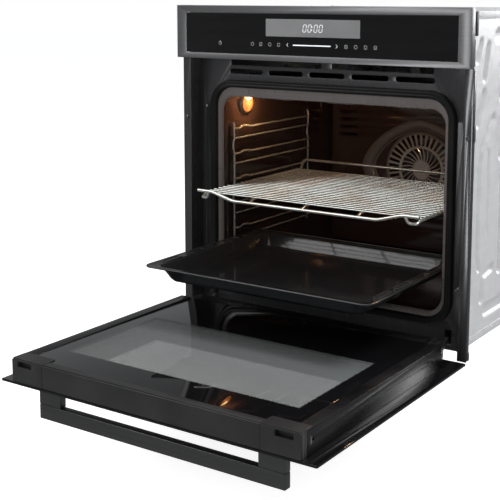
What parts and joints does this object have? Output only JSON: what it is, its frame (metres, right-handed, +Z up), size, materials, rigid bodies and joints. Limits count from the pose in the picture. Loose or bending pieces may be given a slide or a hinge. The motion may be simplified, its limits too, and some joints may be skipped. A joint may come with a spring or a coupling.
{
  "type": "built-in wall oven",
  "caption": "Built-in electric wall oven with touch control panel, drop-down glass door with bar handle, enamelled cavity, side racks, wire shelf and baking tray.",
  "frame": {"origin": "middle of the housing's underside, which stands on the cabinet's shelf", "axes": "+X to the viewer's right of the oven seen from the front, +Y to the back, +Z up"},
  "size_m": [0.595, 1.0497, 0.6554],
  "materials": {
    "dark_steel": "dark brushed steel",
    "handle_steel": "dark brushed steel",
    "black_glass": "black back-printed glass, polished",
    "clear_glass": "clear toughened glass",
    "lamp_glass": "pressed lamp glass",
    "display": "grey display window",
    "black_paint": "satin black",
    "galvanised": "galvanised sheet",
    "enamel": "glossy dark oven enamel",
    "tray_enamel": "glossy black enamel",
    "chrome": "chrome plated wire",
    "steel": "bright steel",
    "rubber": "matt silicone",
    "plastic": "moulded black",
    "wool": "mineral wool",
    "board": "circuit board"
  },
  "bodies": {
    "housing": {"control_panel_frame": "dark_steel", "control_glass": "black_glass", "display_module": "display", "control_board": "board", "front_frame": "dark_steel", "mounting_screw_left": "steel", "mounting_screw_right": "steel", "housing_side_left": "galvanised", "housing_side_right": "galvanised", "housing_base": "galvanised", "housing_top": "galvanised", "housing_back": "galvanised", "insulation_wrap": "wool", "insulation_back": "wool", "cavity_liner": "enamel", "door_gasket": "rubber", "fan_cover": "enamel", "convection_motor": "steel", "ring_heater": "steel", "grill_element": "steel", "bottom_element": "steel", "temperature_probe": "steel", "lamp_cover_left": "lamp_glass", "lamp_cover_right": "lamp_glass", "lamp_left": "steel", "lamp_right": "steel", "side_rack_left": "chrome", "side_rack_right": "chrome", "air_duct": "galvanised", "cooling_fan_housing": "galvanised", "cooling_fan_motor": "steel", "power_board": "board", "terminal_box": "plastic", "cord_gland": "plastic", "hinge_arm_left": "steel", "hinge_arm_right": "steel", "hinge_receiver_left": "steel", "hinge_receiver_right": "steel"},
    "door": {"door_outer_glass": "black_glass", "door_inner_glass": "clear_glass", "door_middle_glass": "clear_glass", "door_side_channel_left": "black_paint", "door_side_channel_right": "black_paint", "door_top_cap": "plastic", "door_bottom_rail": "black_paint", "handle_bar": "handle_steel", "handle_post_left": "handle_steel", "handle_post_right": "handle_steel", "hinge_body_left": "steel", "hinge_body_right": "steel", "hinge_pin_left": "steel", "hinge_pin_right": "steel", "hinge_spring_left": "steel", "hinge_spring_right": "steel"},
    "baking_tray": {"baking_tray": "tray_enamel"},
    "wire_shelf": {"wire_shelf": "chrome"},
    "convection_fan": {"convection_fan": "steel"},
    "cooling_fan": {"cooling_fan_wheel": "galvanised"},
    "hinge_rod_left": {"hinge_rod_left": "steel"},
    "hinge_rod_right": {"hinge_rod_right": "steel"}
  },
  "joints": [
    {"name": "door_hinge", "type": "hinge", "parent": "housing", "child": "door", "pos_m": [0, -0.2971, -0.0035], "axis": [-1, 0, 0], "range_deg": [0, 90]},
    {"name": "tray_slide", "type": "slide", "parent": "housing", "child": "baking_tray", "axis": [0, 1, 0], "range_m": [0, 0.27]},
    {"name": "shelf_slide", "type": "slide", "parent": "housing", "child": "wire_shelf", "axis": [0, 1, 0], "range_m": [0, 0.105]},
    {"name": "hinge_rod_left_slide", "type": "slide", "parent": "door", "child": "hinge_rod_left", "axis": [0, 1, 0], "range_m": [0, 0.02]},
    {"name": "hinge_rod_right_slide", "type": "slide", "parent": "door", "child": "hinge_rod_right", "axis": [0, 1, 0], "range_m": [0, 0.02]},
    {"name": "convection_fan_spin", "type": "hinge", "parent": "housing", "child": "convection_fan", "pos_m": [0, 0.1454, 0.231], "axis": [0, 1, 0], "continuous": true},
    {"name": "cooling_fan_spin", "type": "hinge", "parent": "housing", "child": "cooling_fan", "pos_m": [0, 0.0384, 0.4458], "axis": [0, 0, 1], "continuous": true}
  ],
  "couplings": [
    {"joint": "tray_slide", "follows": "door_hinge", "m_per_rad": 0.17188},
    {"joint": "shelf_slide", "follows": "door_hinge", "m_per_rad": 0.0668},
    {"joint": "hinge_rod_left_slide", "follows": "door_hinge", "m_per_rad": 0.0127},
    {"joint": "hinge_rod_right_slide", "follows": "door_hinge", "m_per_rad": 0.0127}
  ]
}
